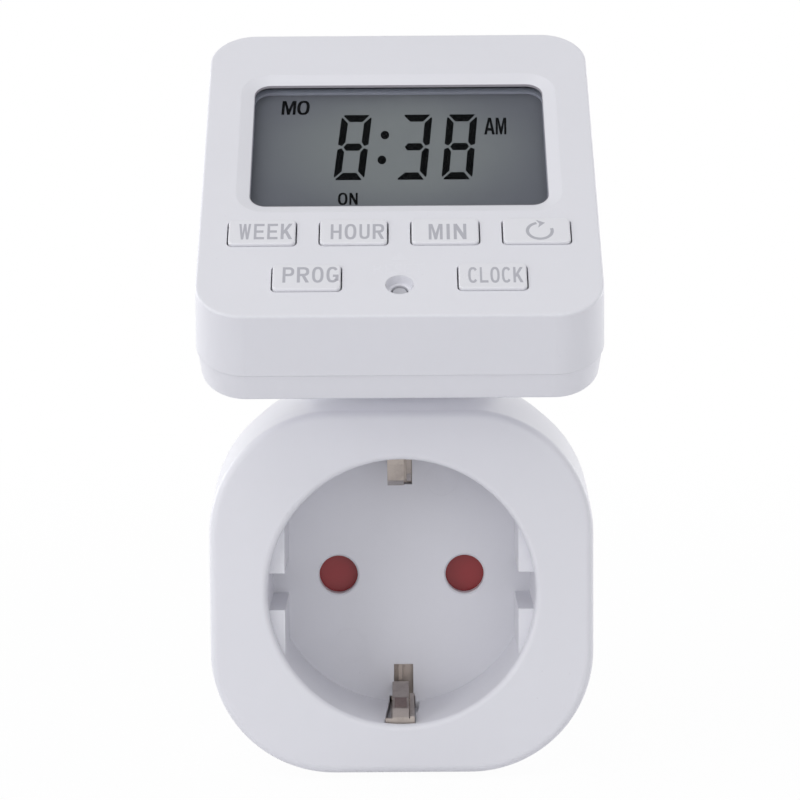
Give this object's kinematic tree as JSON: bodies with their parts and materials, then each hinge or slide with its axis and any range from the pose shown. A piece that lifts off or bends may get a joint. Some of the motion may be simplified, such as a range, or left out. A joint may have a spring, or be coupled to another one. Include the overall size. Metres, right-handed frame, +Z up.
{
  "type": "plug-in digital timer switch",
  "caption": "White plug-in timer switch: an earthed round socket in a rounded square housing, with a tilted display head and keys on a neck above it, and a plug at the back.",
  "frame": {"origin": "centre of the plug body's end face, the face that the pins come out of", "axes": "+X to the right seen from the front, +Y into the wall along the pins, +Z up; the front faces -Y"},
  "size_m": [0.0574, 0.1074, 0.1083],
  "materials": {
    "white_plastic": "fine moulded satin",
    "key_plastic": "smooth moulded",
    "reset_plastic": "smooth moulded",
    "shutter_red": "smooth moulded",
    "carrier_plastic": "moulded nylon",
    "window_clear": "polished clear plastic",
    "lcd_glass": "polarised display cell",
    "reflector": "matt foil",
    "frame_plastic": "moulded",
    "elastomer": "layered silicone",
    "circuit_board": "solder mask",
    "epoxy": "moulded epoxy",
    "nickel_silver": "nickel plated strip",
    "pin_nickel": "nickel plated brass",
    "brass": "plain strip",
    "zinc_screw": "zinc plated",
    "spring_steel": "drawn wire",
    "tinned_can": "plain can",
    "battery_steel": "plain",
    "connector_plastic": "moulded nylon",
    "ribbon_pvc": "ribbed PVC",
    "relay_plastic": "moulded",
    "copper_winding": "enamelled wire",
    "relay_iron": "plated",
    "film_yellow": "moulded",
    "capacitor_sleeve": "shrunk sleeve",
    "varistor_blue": "dipped epoxy",
    "resistor_blue": "lacquer"
  },
  "bodies": {
    "housing": {"socket_front_shell": "white_plastic", "socket_rear_shell": "white_plastic", "head_front_shell": "white_plastic", "head_rear_shell": "white_plastic", "lcd_window": "window_clear", "lcd_cell": "lcd_glass", "lcd_reflector": "reflector", "lcd_frame": "frame_plastic", "zebra_strips": "elastomer", "control_board": "circuit_board", "processor": "epoxy", "clock_crystal": "tinned_can", "backup_battery": "battery_steel", "head_connector": "connector_plastic", "tact_switches": "epoxy", "ribbon_cable": "ribbon_pvc", "board_connector": "connector_plastic", "power_board": "circuit_board", "board_screws": "zinc_screw", "relay_case": "relay_plastic", "relay_base": "epoxy", "relay_coil": "copper_winding", "relay_yoke": "relay_iron", "relay_contact": "brass", "film_capacitor": "film_yellow", "electrolytic_capacitor": "capacitor_sleeve", "varistor": "varistor_blue", "rectifier_diodes": "epoxy", "resistors": "resistor_blue", "live_contact": "brass", "neutral_contact": "brass", "live_lead": "brass", "neutral_lead": "brass", "plug_pin_live": "pin_nickel", "plug_pin_neutral": "pin_nickel", "earth_strip_upper": "nickel_silver", "earth_strip_lower": "nickel_silver", "earth_link": "nickel_silver", "shutter_spring": "spring_steel", "shutter_carrier": "carrier_plastic", "carrier_screws": "zinc_screw", "case_screws": "zinc_screw", "head_screws": "zinc_screw"},
    "key_week": {"key_week": "key_plastic", "plunger_week": "epoxy"},
    "key_hour": {"key_hour": "key_plastic", "plunger_hour": "epoxy"},
    "key_minute": {"key_minute": "key_plastic", "plunger_minute": "epoxy"},
    "key_cycle": {"key_cycle": "key_plastic", "plunger_cycle": "epoxy"},
    "key_program": {"key_program": "key_plastic", "plunger_program": "epoxy"},
    "key_clock": {"key_clock": "key_plastic", "plunger_clock": "epoxy"},
    "reset": {"reset_button": "reset_plastic", "plunger_reset": "epoxy"},
    "shutter": {"safety_shutter": "shutter_red"},
    "armature": {"relay_armature": "relay_iron"}
  },
  "joints": [
    {"name": "key_week_press", "type": "slide", "parent": "housing", "child": "key_week", "axis": [0, 0.6046, -0.7965], "range_m": [0, 0.0005], "stiffness_N_per_m": 400},
    {"name": "key_hour_press", "type": "slide", "parent": "housing", "child": "key_hour", "axis": [0, 0.6046, -0.7965], "range_m": [0, 0.0005], "stiffness_N_per_m": 400},
    {"name": "key_minute_press", "type": "slide", "parent": "housing", "child": "key_minute", "axis": [0, 0.6046, -0.7965], "range_m": [0, 0.0005], "stiffness_N_per_m": 400},
    {"name": "key_cycle_press", "type": "slide", "parent": "housing", "child": "key_cycle", "axis": [0, 0.6046, -0.7965], "range_m": [0, 0.0005], "stiffness_N_per_m": 400},
    {"name": "key_program_press", "type": "slide", "parent": "housing", "child": "key_program", "axis": [0, 0.6046, -0.7965], "range_m": [0, 0.0005], "stiffness_N_per_m": 400},
    {"name": "key_clock_press", "type": "slide", "parent": "housing", "child": "key_clock", "axis": [0, 0.6046, -0.7965], "range_m": [0, 0.0005], "stiffness_N_per_m": 400},
    {"name": "reset_press", "type": "slide", "parent": "housing", "child": "reset", "axis": [0, 0.6046, -0.7965], "range_m": [0, 0.0005], "stiffness_N_per_m": 400},
    {"name": "shutter_turn", "type": "hinge", "parent": "housing", "child": "shutter", "pos_m": [0, -0.04235, 0], "axis": [0, -1, 0], "range_deg": [0, 40], "stiffness_Nm_per_rad": 0.002, "deforming": ["shutter_spring"]},
    {"name": "armature_pull", "type": "hinge", "parent": "housing", "child": "armature", "pos_m": [0.02, -0.02585, 0.00165], "axis": [1, 0, 0], "range_deg": [0, 5], "stiffness_Nm_per_rad": 0.005}
  ]
}
